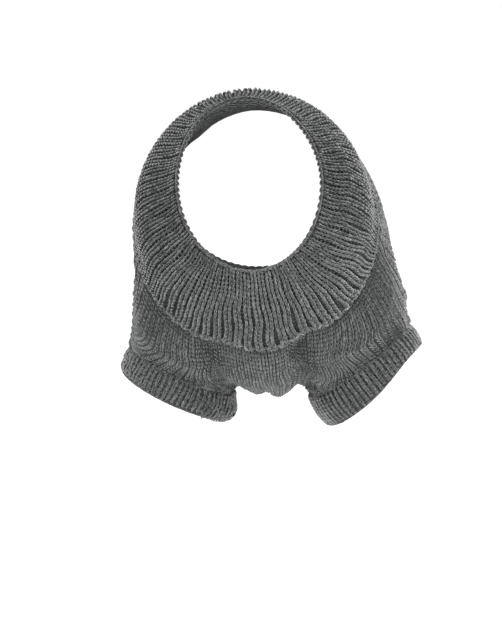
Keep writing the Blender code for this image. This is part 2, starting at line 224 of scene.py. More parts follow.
def falling(x, end, over):
    """1 up to a stretch before the end, and 0 from there on."""
    return smoothstep((end - x) / over)


def unit(vectors):
    return vectors / np.maximum(np.linalg.norm(vectors, axis=-1, keepdims=True), 1e-12)


# ---- Surfaces of the garment, before it is rolled ----


def section_at(table, v):
    """The section at v, on a smooth curve through the table's rows."""
    last = len(table) - 1
    i = int(min(max(math.floor(v), 0), last - 1))
    f = v - i
    before, a, b, after = (table[min(max(k, 0), last)] for k in (i - 1, i, i + 1, i + 2))
    slope_a = (b - before) / 2 if i > 0 else b - a
    slope_b = (after - a) / 2 if i < last - 1 else b - a
    return (
        a * (2 * f**3 - 3 * f**2 + 1)
        + slope_a * (f**3 - 2 * f**2 + f)
        + b * (3 * f**2 - 2 * f**3)
        + slope_b * (f**3 - f**2)
    )


def ring(section, u):
    """Points of a section at u."""
    y_low, z_low, y_high, z_high, half_width, z_wide, full_low, full_high, shift = section
    angle = np.linspace(0.0, math.pi, RING_SAMPLES)
    lower = angle <= math.pi / 2
    power = 2.0 / np.where(lower, full_low, full_high)
    share_wide = (z_wide - z_low) / (z_high - z_low)
    x = half_width * np.abs(np.sin(angle)) ** power
    drop = np.abs(np.cos(angle)) ** power
    rise = np.where(lower, share_wide * (1 - drop), share_wide + (1 - share_wide) * drop)
    slant = math.hypot(y_high - y_low, z_high - z_low)
    step = np.hypot(np.diff(x), np.diff(rise) * slant)
    length = np.concatenate([[0.0], np.cumsum(step)])
    at = np.abs(u) * length[-1]
    x = np.sign(u) * np.interp(at, length, x) + shift
    rise = np.interp(at, length, rise)
    return np.stack([x, y_low + (y_high - y_low) * rise, z_low + (z_high - z_low) * rise], axis=-1)


def wrapped(u):
    """u, carried on past the back down the other side."""
    return (u + 1.0) % 2.0 - 1.0


def by_side(u, table):
    """The table's value for the side on which u lies, towards that side."""
    return np.where(u > 0, table[1], -table[-1])


def normals_of(grid):
    """Unit normals of a grid: outwards, if rows run towards the hem and columns from right to left."""
    along, across = np.gradient(grid, axis=0), np.gradient(grid, axis=1)
    return unit(np.cross(along, across))


def seam_rise(u):
    """Vectors that lift the edge between collar and body towards the neck."""
    edge = ring(BODY["collar_seam"], u)
    to_neck = unit(ring(NECK_EDGE, u) - edge)
    height = np.zeros(len(u))
    for at, width, rise in SEAM_RISES.values():
        height += rise * bell(u, at, width)
    return to_neck * height[:, None]


def leg_frame(leg):
    """Centre of a leg opening, its slope pointing outwards, and its axis pointing down and out."""
    centre = np.array((leg["x"], leg["y"], leg["z"]))
    slope = np.array((leg["side"] * math.cos(leg["tilt"]), 0.0, math.sin(leg["tilt"])))
    axis = np.array((leg["side"] * math.sin(leg["tilt"]), 0.0, -math.cos(leg["tilt"])))
    return centre, slope, axis


def leg_places(leg, points):
    """Depth past the plane of a leg opening, and places up its slope and in Y in radii of it."""
    centre, slope, axis = leg_frame(leg)
    offset = points - centre
    return offset @ axis, offset @ slope / leg["across"], offset[..., 1] / leg["along"]


def leg_depth_and_radii(leg, points):
    depth, out, along = leg_places(leg, points)
    return depth, np.hypot(out, along)


def bent_to_legs(grid, v):
    """Turns the body down into the leg openings: its depth along each opening's axis is blended with
    that of a lip, which passes through the opening's edge."""
    fade = smoothstep(v / LEG_CLEAR_OF_COLLAR)[:, None]
    for leg in LEGS.values():
        axis = leg_frame(leg)[2]
        depth, radii = leg_depth_and_radii(leg, grid)
        share = np.clip((LEG_REACH - radii) / (LEG_REACH - 1.0), 0.0, 1.0) ** LEG_BEND * fade
        share = np.where(depth > -LEG_LEVEL, share, 0.0)
        lip = np.clip((1.0 - radii) * leg["along"] * LEG_LIP, -LEG_RIM, LEG_PLUG)
        grid = grid + ((lip - depth) * share)[..., None] * axis
    return grid


def plain_surface(u, v):
    """The body's middle surface with its leg openings, before the folds."""
    table = np.array(list(BODY.values()))
    u = wrapped(u)
    follow = 1.0 - smoothstep(v / RISE_REACH)
    grid = np.array([ring(section_at(table, row), u) for row in v])
    return bent_to_legs(grid + seam_rise(u) * follow[:, None, None], v)


def fold_line(u_from, v_from, u_to, v_to):
    """Points of the plain body under the line of a fold."""
    u, v = np.linspace(u_from, u_to, FOLD_STEPS), np.linspace(v_from, v_to, FOLD_STEPS)
    return plain_surface(u, v)[range(FOLD_STEPS), range(FOLD_STEPS)]


def distance_to(grid, line):
    """Distance from each point of the grid to a line of points."""
    nearest = np.full(grid.shape[:2], np.inf)
    for a, b in zip(line[:-1], line[1:]):
        share = ((grid - a) @ (b - a)) / ((b - a) @ (b - a))
        foot = a + np.clip(share, 0.0, 1.0)[..., None] * (b - a)
        nearest = np.minimum(nearest, np.linalg.norm(grid - foot, axis=-1))
    return nearest


def body_and_relief(u, v):
    """The body's middle surface, and how far its folds lift it."""
    grid = plain_surface(u, v)
    height = np.zeros(grid.shape[:2])
    for *ends, width, lift in (*FOLDS.values(), *CREASES.values()):
        height += lift * bell(distance_to(grid, fold_line(*ends)), 0.0, width)
    v = v[:, None]
    height *= smoothstep(v / FOLD_FADE) * smoothstep((len(BODY) - 1 - v) / FOLD_FADE)
    return grid + normals_of(grid) * height[..., None], height


def collar_surface(u, t):
    """The collar's middle surface: t is 0 at the body and 1 at the neck's edge."""
    u = wrapped(u)
    outer = ring(BODY["collar_seam"], u) + seam_rise(u)
    inner = ring(NECK_EDGE, u)
    side = np.where(u > 0, ARCH_LEFT, ARCH_RIGHT)
    front_part = smoothstep(np.abs(u) / ARCH_BLEND)
    back_part = smoothstep((np.abs(u) - 1 + ARCH_BLEND) / ARCH_BLEND)
    arch = ARCH_THROAT + (side - ARCH_THROAT) * front_part + (ARCH_NAPE - side) * back_part
    flat = outer + (inner - outer) * t[:, None, None]
    t = t[:, None]
    height = arch * np.sin(math.pi * t**RIDGE_SKEW) ** 2
    crest = np.exp(-np.abs(t - KINK_T) / KINK_STEEP) - KINK_AROUND * np.sin(math.pi * t)
    height = height + KINK * bell(u, KINK_U, KINK_WIDTH) * crest
    return flat - normals_of(flat) * height[..., None]


def rolled(points):
    """Points of the upright garment in the row's frame."""
    c, s = math.cos(ROLL), math.sin(ROLL)
    x, y, z = points[..., 0], points[..., 1], points[..., 2]
    return np.stack([x * c - z * s, y, x * s + z * c - DROP], axis=-1)


# ---- Cloth, counted in columns and rows of stitches ----


def sampled(grid, row, column):
    """The grid's values at fractional rows and columns."""
    row = np.clip(row, 0, grid.shape[0] - 1.0001)
    column = np.clip(column, 0, grid.shape[1] - 1.0001)
    r, c = row.astype(int), column.astype(int)
    down, over = (row - r)[..., None], (column - c)[..., None]
    upper = grid[r, c] * (1 - over) + grid[r, c + 1] * over
    lower = grid[r + 1, c] * (1 - over) + grid[r + 1, c + 1] * over
    return upper * (1 - down) + lower * down


def in_rows(grid, column):
    """The grid's values at fractional columns of each of its rows."""
    rows = np.broadcast_to(np.arange(len(grid))[:, None], column.shape).astype(float)
    return sampled(grid, rows, column)


def ripple(points, name):
    """A smooth uneven value for each point."""
    amount, wave, seed = RIPPLES[name]
    rng = np.random.default_rng(seed)
    total = np.zeros(points.shape[:-1])
    for _ in range(RIPPLE_WAVES):
        pull = unit(rng.normal(size=3)) * rng.uniform(*RIPPLE_SPREAD) * 2 * math.pi / wave
        total += np.sin(points @ pull + rng.uniform(0, 2 * math.pi))
    return amount * total / math.sqrt(RIPPLE_WAVES)


def column_steps(columns):
    """Columns at which a cloth is sampled, its padding included."""
    return np.arange(-PAD * PER_COLUMN, (columns + PAD) * PER_COLUMN + 1) / PER_COLUMN


class Cloth:
    """A knitted surface. lines is a grid of points whose columns run along the stitch columns, at
    column_steps. facing is 1 if normals_of gives its outer side. relief is what folds lift it by."""

    def __init__(self, lines, row_height, facing, relief=None):
        before = lines[:1] + unit(lines[:1] - lines[1:2]) * OVERHANG
        after = lines[-1:] + unit(lines[-1:] - lines[-2:-1]) * OVERHANG
        line = np.concatenate([before, lines, after])
        step = np.linalg.norm(np.diff(line, axis=0), axis=-1)
        length = np.concatenate([np.zeros((1, step.shape[1])), np.cumsum(step, axis=0)]) - OVERHANG
        self.facing = facing
        self.rows = (length[-1] - OVERHANG) / row_height
        self.first = -OVERHANG / row_height
        count = int((self.rows.max() + 2 * OVERHANG / row_height) * PER_ROW)
        at = (self.first + np.arange(count) / PER_ROW) * row_height

        def by_row(grid):
            columns = range(grid.shape[1])
            return np.stack([np.interp(at, length[:, i], grid[:, i]) for i in columns], axis=1)

        self.points = np.stack([by_row(line[..., k]) for k in range(3)], axis=-1)
        self.normals = normals_of(self.points) * facing
        if relief is not None:
            self.relief = by_row(np.pad(relief, ((1, 1), (0, 0)), "edge"))[..., None]

    def read(self, grid, column, row):
        return sampled(grid, (row - self.first) * PER_ROW, (column + PAD) * PER_COLUMN)

    def place(self, column, row):
        """Points and outward normals at fractional columns and rows."""
        return self.read(self.points, column, row), unit(self.read(self.normals, column, row))

    def rows_at(self, column):
        return np.interp((column + PAD) * PER_COLUMN, np.arange(len(self.rows)), self.rows)

    def column_width(self, column, row):
        left, right = self.place(column - 0.5, row)[0], self.place(column + 0.5, row)[0]
        return np.linalg.norm(right - left, axis=-1)


def panel_cloth(middle, columns):
    """A panel of the body, whose middle line lies at u = middle. Its columns run from end to end of it
    between the side seams, and part round the leg openings."""
    v = np.linspace(0, len(BODY) - 1, BODY_STEPS)
    reach = SIDE_SEAM if middle == 0 else 1 - SIDE_SEAM
    fine = columns * PANEL_FINE
    u = middle + PANEL_REACH * reach * np.linspace(-1, 1, fine + 1)
    surface, relief = body_and_relief(u, v)
    wanted = column_steps(columns) - columns / 2
    across = np.repeat(((u - middle) / reach * columns / 2)[None], len(v), axis=0)
    start, fade = PART_WITHIN
    part = rising(v, *PART_FROM)[:, None] * falling(np.abs(u), start + fade, fade)
    lean = by_side(u, COLUMN_LEAN) / reach * columns / 2
    across += lean * bell(np.abs(u), LEAN_AT, LEAN_WIDTH) * smoothstep(v)[:, None]
    sag = bell(np.abs(u), SAG_U, SAG_WIDTH) * bell(v, SAG_V, SAG_OVER)[:, None]
    across += by_side(u, SAG) / reach * columns / 2 * sag
    plain = plain_surface(u, v)
    for leg in LEGS.values():
        depth, out, along = leg_places(leg, plain)
        above = np.maximum(-depth - PART_ABOVE, 0) / leg["across"]
        radii = np.maximum(out**2 + along**2 + above**2, 1.0)
        parting = np.where(out < 0, PART_INNER / radii, leg["parting"] / radii**2)
        across -= leg["side"] * leg["across"] / BODY_STITCH * part * parting * out
    across = np.maximum.accumulate(across, axis=1) + 1e-5 * np.arange(fine + 1)
    at = np.array([np.interp(wanted, row, np.arange(fine + 1)) for row in across])
    return Cloth(in_rows(surface, at), BODY_ROW, 1, in_rows(relief[..., None], at)[..., 0])


def collar_cloth():
    """The collar, whose ribs lean: they leave the body further up the sides than they end."""
    t = np.linspace(0, 1, COLLAR_STEPS)
    reach, fine = COLLAR_REACH, COLLAR_FINE
    surface = collar_surface(np.linspace(-reach, reach, fine + 1), t)
    u = -1 + 2 * column_steps(RIBS) / RIBS
    around = wrapped(u)
    sweep = by_side(around, RIB_LEAN) * bell(np.abs(around), RIB_LEAN_AT, RIB_LEAN_WIDTH)
    lean = sweep * (0.5 - t[:, None])
    return Cloth(in_rows(surface, (u + lean + reach) / (2 * reach) * fine), RIB_ROW, -1)


def hem_cloth():
    u = wrapped(-1 + 2 * column_steps(RIBS) / RIBS)
    start, end = ring(BODY["hem_seam"], u), ring(HEM_EDGE, u)
    return Cloth(start + (end - start) * np.linspace(0, 1, HEM_STEPS)[:, None, None], RIB_ROW, 1)


def cuff_cloth(leg):
    """A leg's cuff, whose columns are counted round the opening from its outer end."""
    centre, slope, axis = leg_frame(leg)
    angles = 2 * math.pi * column_steps(CUFF_RIBS) / CUFF_RIBS
    turned = (angles - DRAWN_UP_AT + math.pi) % (2 * math.pi) - math.pi
    out = (1 + np.cos(angles)) / 2
    depth = leg["deep_belly"] + (leg["deep_out"] - leg["deep_belly"]) * out
    depth = depth - leg["drawn_up"] * bell(turned, 0.0, DRAWN_UP_WIDTH)
    curl = leg["curl"] * bell(angles, math.pi, CURL_WIDTH)
    share = np.linspace(0, 1, CUFF_STEPS)[:, None]
    past_edge = np.interp(share, *np.transpose(CUFF_PROFILE)) + curl * rising(share, *CURL_FROM)
    across = (leg["across"] + past_edge) * np.cos(angles)
    along = (leg["along"] + past_edge) * np.sin(angles)
    down = CUFF_GAP + share * depth
    grid = centre + across[..., None] * slope + along[..., None] * np.array((0.0, 1.0, 0.0))
    return Cloth(grid + down[..., None] * axis, CUFF_ROW, leg["side"])


# ---- Yarn ----

# Corners of a strand's cross-section, in its half width and its half thickness.
ACROSS, OVER = np.array((-1.0, 0.0, 1.0)), np.array((-0.25, 1.0, -0.25))
SIDES = len(ACROSS)
TURNS = ((0.0, 0.5), (0.5, 1.0), (1.0, 2.0))  # share of the way over the strand, on each side of it
STATIONS = np.array((0.0, 0.22, 0.5, 0.78, 1.0))  # along a strand: the first and the last are its tips
FULL = np.array((0.0, 0.86, 1.0, 0.86, 0.0))  # its width at the stations
# Painted shade: a strand's tips and lower edges are darkened in the yarn's colour by these shares.
TIP_SHOWN, SIDE_SHOWN = 0.5, 0.15  # how much light reaches its tips and its lower edges
CELL_MARGIN = 0.06  # round a strand in its cell of the map


def strands(cloth, column, row, lift, wide, thick, open_to_light=1.0):
    """Tapered strands, from arguments that have a row for each strand and a column for each station.
    Gives each strand's vertices, with how much light reaches them, at most open_to_light: it is painted
    into the yarn's colour as shade."""
    centre, normal = cloth.place(column, row)
    centre = centre + normal * lift[..., None]
    along = unit(np.gradient(centre, axis=1))
    side = unit(np.cross(along, normal))
    up = np.cross(side, along)
    rings = (
        centre[:, 1:-1, None]
        + side[:, 1:-1, None] * (wide[:, 1:-1, None] * ACROSS)[..., None]
        + up[:, 1:-1, None] * (thick[:, 1:-1, None] * OVER)[..., None]
    ).reshape(len(centre), -1, 3)
    points = np.concatenate([centre[:, :1], rings, centre[:, -1:]], axis=1)
    ring_shown = list(np.where(OVER > 0, 1.0, SIDE_SHOWN)) * (len(STATIONS) - 2)
    painted_light = np.array([TIP_SHOWN, *ring_shown, TIP_SHOWN])
    painted_light = np.broadcast_to(open_to_light, len(points))[:, None] * painted_light
    return np.concatenate([points, painted_light[..., None]], axis=-1)


def strand_faces():
    """The corners of one strand's faces, how many each has, and for each corner the share of the way
    round the strand and along it."""
    corners, counts, places = [], [], []
    last = len(STATIONS) - 2
    for i, (left, right) in enumerate(TURNS):
        j, middle = (i + 1) % SIDES, (left + right) / 2
        for r in range(last + 1):
            a, b = 1 + (r - 1) * SIDES, 1 + r * SIDES
            low, high = r / (last + 1), (r + 1) / (last + 1)
            start = [(a + j, right, low), (a + i, left, low)] if r else [(0, middle, low)]
            end = [(b + i, left, high), (b + j, right, high)] if r < last else [(b, middle, high)]
            counts.append(len(start + end))
            corners += [corner for corner, _, _ in start + end]
            places += [place for _, *place in start + end]
    return np.array(corners), counts, np.array(places)


def new_object(name, data):
    made = bpy.data.objects.new(name, data)
    bpy.context.scene.collection.objects.link(made)
    return made


def mesh_object(name, points, corners, counts, finishes):
    """An object from points, the corners of its faces in one list, and how many each face has."""
    mesh = bpy.data.meshes.new(name)
    mesh.vertices.add(len(points))
    mesh.vertices.foreach_set("co", rolled(points).astype(np.float32).ravel())
    mesh.loops.add(len(corners))
    mesh.loops.foreach_set("vertex_index", corners.astype(np.int32))
    mesh.polygons.add(len(counts))
    starts = np.concatenate([[0], np.cumsum(counts)[:-1]])
    mesh.polygons.foreach_set("loop_start", starts.astype(np.int32))
    mesh.polygons.foreach_set("use_smooth", np.ones(len(counts), bool))
    mesh.update(calc_edges=True)
    for finish in finishes:
        mesh.materials.append(finish)
    piece = new_object(name, mesh)
    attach(piece, "root")
    return piece


def add_values(piece, name, values, domain="POINT"):
    layer = piece.data.attributes.new(name, "FLOAT", domain)
    layer.data.foreach_set("value", np.asarray(values, np.float32).ravel())


def yarn_object(name, groups, finish, seed):
    """One object from groups of strands, each strand with its own shade and cell of the bake's map."""
    points = np.concatenate(groups)
    n, size = points.shape[:2]
    corners, counts, place = strand_faces()
    corners = (corners + np.arange(n)[:, None] * size).ravel()
    flat = points.reshape(-1, 4)
    piece = mesh_object(name, flat[:, :3], corners, np.tile(counts, n), [finish])
    side = math.ceil(math.sqrt(n))
    cell = np.stack([np.arange(n) % side, np.arange(n) // side], axis=-1)
    in_cell = CELL_MARGIN + (1 - 2 * CELL_MARGIN) * place * (0.5, 1.0)
    cells = (cell[:, None] + in_cell[None]) / side
    uv = piece.data.uv_layers.new(name="OFBake")
    uv.uv.foreach_set("vector", cells.astype(np.float32).ravel())
    add_values(piece, "shade", np.repeat(np.random.default_rng(seed).normal(0.0, 1.0, n), size))
    add_values(piece, "painted_light", flat[:, 3])
    add_values(piece, "round", np.tile(place[:, 0], n), "CORNER")
    add_values(piece, "along", np.tile(place[:, 1], n), "CORNER")
    return piece


# ---- Stitches ----

# A stitch's legs part by top towards the collar and by foot at the other end, in columns. length is in
# rows, and lifts are heights at the stations. A rib's ridge and groove are heights over the middle of
# the CAD wall, slim draws its legs together near the seam, and its bars are the purl side. light and
# bar_light are how much light is painted on its stitches and its bars, and shadow is how much shade is
# painted on its bars near the seam.
PLAIN = dict(
    top=0.29, foot=0.145, length=1.85, wide=0.175, thick=0.00066, uneven=1.0,
    lifts=(-0.0005, -0.00005, 0.00012, 0.00015, -0.00035),
)
COLLAR_RIB = dict(
    top=0.25, foot=0.2, length=1.75, wide=0.165, thick=0.00085, ridge=0.00085, groove=-0.0013,
    lifts=(-0.0007, -0.0001, 0.0, 0.00005, -0.0006), slim=0.12, light=1.0, uneven=1.0,
    bars=1, bar_span=0.24, bar_thick=0.0004, bar_rise=0.0007, bar_light=0.45, shadow=0.9,
    bar_uneven=1.0,
)
HEM_RIB = dict(COLLAR_RIB, ridge=0.0007, groove=-0.0009)
CUFF_RIB = dict(
    top=0.17, foot=0.12, length=1.7, wide=0.125, thick=0.0008, ridge=0.00125, groove=-0.0005,
    lifts=(-0.0005, -0.0001, 0.0, 0.00005, -0.0005), slim=0.0, light=1.45, uneven=1.3,
    bars=2, bar_span=0.33, bar_thick=0.00032, bar_rise=0.0, bar_light=1.0, shadow=0.0, bar_uneven=3.5,
)
SCRUNCHED_RIB = dict(CUFF_RIB, uneven=3.0, ridge=0.0009, bar_uneven=4.5)
# Chains of links along the edges: row is from the start or the end of the cloth, swing is how many rows
# they swing to both sides, long is a link's length in columns, and light is how much light is painted
# on them.
SEAM_CHAIN = dict(at_end=False, row=-0.15, lift=0.0006, thick=0.0008, swing=0.38, long=1.24, light=1.25)
HEM_CHAIN = dict(at_end=False, row=0.0, lift=0.0009, thick=0.0007, swing=0.28, long=1.24, light=1.0)
EDGE_CHAIN = dict(at_end=True, row=-0.25, lift=0.0, thick=0.0006, swing=0.1, long=1.8, light=1.0)
# How unevenly strands lie, in columns, rows and metres of height, and how much their lengths, widths
# and thicknesses differ, as shares.
JOG, SLIP, RISE, BAR_RISE = 0.02, 0.04, 0.00008, 0.00006
LONGER, WIDER, THICKER, LINK_THICKER, BAR_TILT = 0.04, 0.07, 0.08, 0.1, 0.06
BAR_LIFT = 0.0004  # of the bars over the groove
BAR_DIP, LINK_DIP = 0.0005, 0.0006  # how far a bar's and a link's tips dip
SPARE_ROWS = 0.8  # of a rib, under the chain along its free edge
EDGE_RIDGE = 0.62  # height of a rib's ridge at the free edge, as a share
LEFT_OUT = 0.3  # share of the stitches that are left out right under the collar
SPLIT, MOST = 0.3, 5  # a column takes a stitch more this early, in widths of one, and at most so many
# Stitches end LEG_SPARE above an opening's plane, within LEG_ROUND radii, and the backing is cut within
# LEG_CUT. What lies more than LEG_NEAR above the plane isn't next to the opening.
LEG_SPARE, LEG_ROUND, LEG_CUT, LEG_NEAR = 0.0006, 1.25, 1.35, 0.02
# Painted shade: in folds, more in front, next to the cuffs, and from least to most right under the
# collar.
FOLD_SHADE_HEIGHT, FOLD_SHADE, FRONT_SHADE, CUFF_SHADE = 0.003, 0.1, 0.4, 0.55
COLLAR_SHADE, COLLAR_SHADE_ROWS, LEAST_LIGHT, MOST_LIGHT = (0.1, 0.8), 1.6, 0.1, 1.35
# Where they end or begin, and over which stretch: the painted shade of folds in front, in Y, and of a
# cuff, in radii. In shares of a rib band's depth: its lower ridges, slimmer stitches, risen bars and
# the painted shade on its bars.
FRONT_SHADE_Y, CUFF_SHADE_RADII = (-0.02, 0.04), (1.14, 0.12)
LOWER_TO, SLIM_TO, BARS_RISE_FROM, SHADOW_TO = (0.8, 0.6), (0.45, 0.45), (0.3, 0.5), (0.7, 0.6)
RIDGE_EDGE = 1.2  # above 1 the backing's ridges are narrower than its grooves
# Slow unevenness: how much, over which length, and its seed.
RIPPLES = {
    "plain_across": (0.07, 0.016, 11),
    "plain_along": (0.1, 0.03, 12),
    "plain_light": (0.06, 0.025, 13),
    "rib_across": (0.1, 0.014, 21),
    "rib_along": (0.1, 0.02, 22),
    "rib_light": (0.08, 0.02, 23),
}
RIPPLE_WAVES, RIPPLE_SPREAD = 6, (0.6, 1.4)


def stitch_places(cloth, first, last, spare=0.0):
    """Columns and rows of the middle of each stitch of a range of columns, but for spare rows."""
    columns = np.arange(first, last) + 0.5
    counts = (cloth.rows_at(columns) + 0.5 - spare).astype(int)
    return np.repeat(columns, counts), np.concatenate([np.arange(n) + 0.5 for n in counts])


def scatter(rng, n, by, about=0.0):
    return rng.normal(about, by, n)[:, None]


def legs_of_stitches(cloth, column, row, raised, rng, p, share, spread, light, flat):
    """The two legs of each stitch. share is its part of its column, spread how far its legs part,
    light how much light reaches it, painted into its colour, and flat how little it rises over its
    neighbours."""
    n, uneven = len(column), p["uneven"]
    width = cloth.column_width(column, row)[:, None] * share * p["wide"]
    lifts = (1 - np.broadcast_to(flat, n))[:, None] * np.array(p["lifts"])
    column, row, raised = (values[:, None] for values in (column, row, raised))
    groups = []
    for side in (-1, 1):
        ends = rng.normal(0.0, JOG * uneven, (2, n))
        a, b = ((side * p[end] * spread + jog) * share for end, jog in zip(("top", "foot"), ends))
        long = p["length"] * scatter(rng, n, LONGER * uneven, 1.0)
        c = column + a[:, None] + (b - a)[:, None] * STATIONS
        r = row + scatter(rng, n, SLIP * uneven) + long * (STATIONS - 0.5)
        lift = raised + scatter(rng, n, RISE * uneven) + lifts
        half_width = width * scatter(rng, n, WIDER, 1.0) * FULL
        half_thick = p["thick"] * scatter(rng, n, THICKER, 1.0) * FULL
        groups.append(strands(cloth, c, r, lift, half_width, half_thick, light))
    return np.concatenate(groups)


def bars_between(cloth, column, row, lift, rng, p, light):
    """Short strands across the columns: the purl side of a stitch."""
    n, uneven = len(column), p["bar_uneven"]
    middle = STATIONS - 0.5
    tilt = scatter(rng, n, BAR_TILT * uneven)
    c = column[:, None] + scatter(rng, n, JOG * uneven) + 2 * p["bar_span"] * middle
    r = row[:, None] + scatter(rng, n, SLIP * uneven) + tilt * middle
    high = lift[:, None] + scatter(rng, n, BAR_RISE * uneven)
    half = p["bar_thick"] * scatter(rng, n, THICKER, 1.0) * FULL
    return strands(cloth, c, r, high - BAR_DIP * (1 - FULL), half, half, light)


def plain_stitches(cloth, columns, first, last, rng):
    """Stitches of a panel of the body, which sink into its side seams."""
    column, row = stitch_places(cloth, first, last)
    centre = cloth.place(column, row)[0]
    under_the_chain = (row < 1) & (rng.random(len(row)) < LEFT_OUT)
    keep = outside_the_legs(centre) & ~under_the_chain
    column, row, centre = column[keep], row[keep], centre[keep]
    raised = -SEAM_SINK * bell(np.minimum(column, columns - column), 0.0, SEAM_WIDTH)
    light = light_on_body(cloth, column, row, centre, rng)
    reach, y = np.abs(centre[:, 0]), centre[:, 1]
    gathered = bell(reach, GATHER_X, GATHER_WIDTH) * falling(y, *GATHER_Y) * (np.floor(column) % 2)
    raised -= GATHER_DEEP * gathered
    # painted shade on the deeper columns of the gathers
    light *= 1 - GATHER_SHADE * gathered
    column = column + ripple(centre, "plain_across")
    row = row + ripple(centre, "plain_along")
    parts = np.clip(cloth.column_width(column, row) / BODY_STITCH + SPLIT, 1, MOST).astype(int)
    flank = rising(reach, CHEST_X, CHEST_OVER) * falling(y, *FLANK_Y)
    spread = 1 + CHEST_SPREAD * falling(reach, CHEST_X, CHEST_OVER) * (y < 0)
    spread -= FLANK_CLOSED * flank
    groups = []
    for k in range(1, MOST + 1):  # where the cloth widens, several stitches share a column
        c, r, h, s, l, f = (a[parts == k] for a in (column, row, raised, spread, light, flank))
        for i in range(k if len(c) else 0):
            at = c + (i + 0.5) / k - 0.5
            groups.append(legs_of_stitches(cloth, at, r, h, rng, PLAIN, 1 / k, s, l, FLANK_FLAT * f))
    return groups


def light_on_body(cloth, column, row, centre, rng):
    """Painted shade and light: less light reaches the stitches in a fold, next to a cuff and right
    under the collar, and more a ridge, and this is painted into their colour.
    """
    relief = cloth.read(cloth.relief, column, row)[..., 0] / FOLD_SHADE_HEIGHT
    deep = FOLD_SHADE + FRONT_SHADE * falling(centre[:, 1], *FRONT_SHADE_Y)
    light = 1 + np.where(relief < 0, deep, deep / 2) * relief + ripple(centre, "plain_light")
    for leg in LEGS.values():
        depth, radii = leg_depth_and_radii(leg, centre)
        light *= 1 - CUFF_SHADE * falling(radii, *CUFF_SHADE_RADII) * (depth > -LEG_NEAR)
    light *= 1 - rng.uniform(*COLLAR_SHADE, len(row)) * (row < COLLAR_SHADE_ROWS)
    return np.clip(light, LEAST_LIGHT, MOST_LIGHT)


def ridge_height(p, share):
    """Height of a rib's ridge, which is lower towards the free edge."""
    return p["ridge"] * (EDGE_RIDGE + (1 - EDGE_RIDGE) * falling(share, *LOWER_TO))


def rib_stitches(cloth, count, rng, p):
    """Ridges of stitches, and between them bars, which lie deeper near the seam and are darker there by
    painted shade.
    """
    column, row = stitch_places(cloth, 0, count, SPARE_ROWS)
    centre = cloth.place(column, row)[0]
    column = column + p["uneven"] ** 0.5 * ripple(centre, "rib_across")
    row = row + p["uneven"] * ripple(centre, "rib_along")
    share = row / cloth.rows_at(column)
    spread = 1 - p["slim"] * falling(share, *SLIM_TO)
    light = p["light"] + ripple(centre, "rib_light")
    raised = ridge_height(p, share)
    groups = [legs_of_stitches(cloth, column, row, raised, rng, p, 1.0, spread, light, 0.0)]
    lift = p["groove"] + BAR_LIFT + p["bar_rise"] * rising(share, *BARS_RISE_FROM)
    bar_light = p["bar_light"] * (1 - p["shadow"] * falling(share, *SHADOW_TO))
    for k in range(p["bars"]):
        at = row + (k + 0.5) / p["bars"] - 0.5
        groups.append(bars_between(cloth, column + 0.5, at, lift, rng, p, bar_light))
    return groups


def chain(cloth, count, rng, p):
    """A wavy chain of links round an edge."""
    at = (np.arange(count * 2) + 0.5) / 2
    n, middle = len(at), STATIONS - 0.5
    way = np.where(np.arange(n) % 2, 1.0, -1.0)[:, None]
    c = at[:, None] + p["long"] / 2 * middle + scatter(rng, n, JOG)
    start = cloth.rows_at(at)[:, None] if p["at_end"] else 0.0
    r = start + p["row"] + way * p["swing"] * 2 * middle + scatter(rng, n, p["swing"] / 5)
    half = p["thick"] * scatter(rng, n, LINK_THICKER, 1.0) * FULL
    return strands(cloth, c, r, p["lift"] - LINK_DIP * (1 - FULL), half, half, p["light"])


def outside_the_legs(points):
    """True for points of the body that the leg openings leave standing."""
    keep = np.ones(points.shape[:-1], bool)
    for leg in LEGS.values():
        depth, radii = leg_depth_and_radii(leg, points)
        keep &= (depth < -LEG_SPARE) | (radii > LEG_ROUND)
    return keep


# ---- Backings ----


def backing(name, cloth, count, steps, rows, height, closed, finishes):
    """The cloth behind the stitches: a thin shell, its outer side at height over the wall's middle."""
    c, s = np.meshgrid(np.linspace(0, count, steps + 1), np.linspace(0, 1, rows + 1))
    r = s * cloth.rows_at(c)
    points, normals = cloth.place(c, r)
    points = points + normals * height(c, s)[..., None]
    width = steps if closed else steps + 1
    i, j = np.meshgrid(np.arange(rows), np.arange(steps), indexing="ij")
    i, j = i.ravel(), j.ravel()
    around = [(i, j), (i + 1, j), (i + 1, j + 1), (i, j + 1)][:: cloth.facing]
    corners = np.stack([a * width + b % width for a, b in around], axis=-1).ravel()
    points = points[:, :width].reshape(-1, 3)
    piece = mesh_object(name, points, corners, np.full(len(i), 4), finishes)
    for value, grid in (("column", c), ("row", r)):
        add_values(piece, value, np.stack([grid[a, b] for a, b in around], axis=-1), "CORNER")
    wall = piece.modifiers.new("wall", "SOLIDIFY")
    wall.thickness, wall.offset = BACKING, -1.0
    wall.material_offset = wall.material_offset_rim = 1
    return piece


def cut_for_legs(piece):
    """Cuts a backing off along the planes of the leg openings."""
    build = bmesh.new()
    build.from_mesh(piece.data)
    for leg in LEGS.values():
        centre, slope, axis = leg_frame(leg)
        centre = rolled(centre)
        axis, slope = rolled(np.array((axis, slope))) - rolled(np.zeros(3))
        offset = np.array([f.calc_center_median() for f in build.faces]) - centre
        depth = offset @ axis
        radii = np.hypot(offset @ slope / leg["across"], offset[:, 1] / leg["along"])
        near = [f for f, d, r in zip(build.faces, depth, radii) if r < LEG_CUT and d > -LEG_NEAR]
        bounds = dict.fromkeys(part for f in near for part in (*f.edges, *f.verts))
        bmesh.ops.bisect_plane(
            build, geom=[*near, *bounds], dist=1e-7,
            plane_co=Vector(centre), plane_no=Vector(axis), clear_outer=True,
        )
    build.to_mesh(piece.data)
    build.free()


# ---- Finish ----


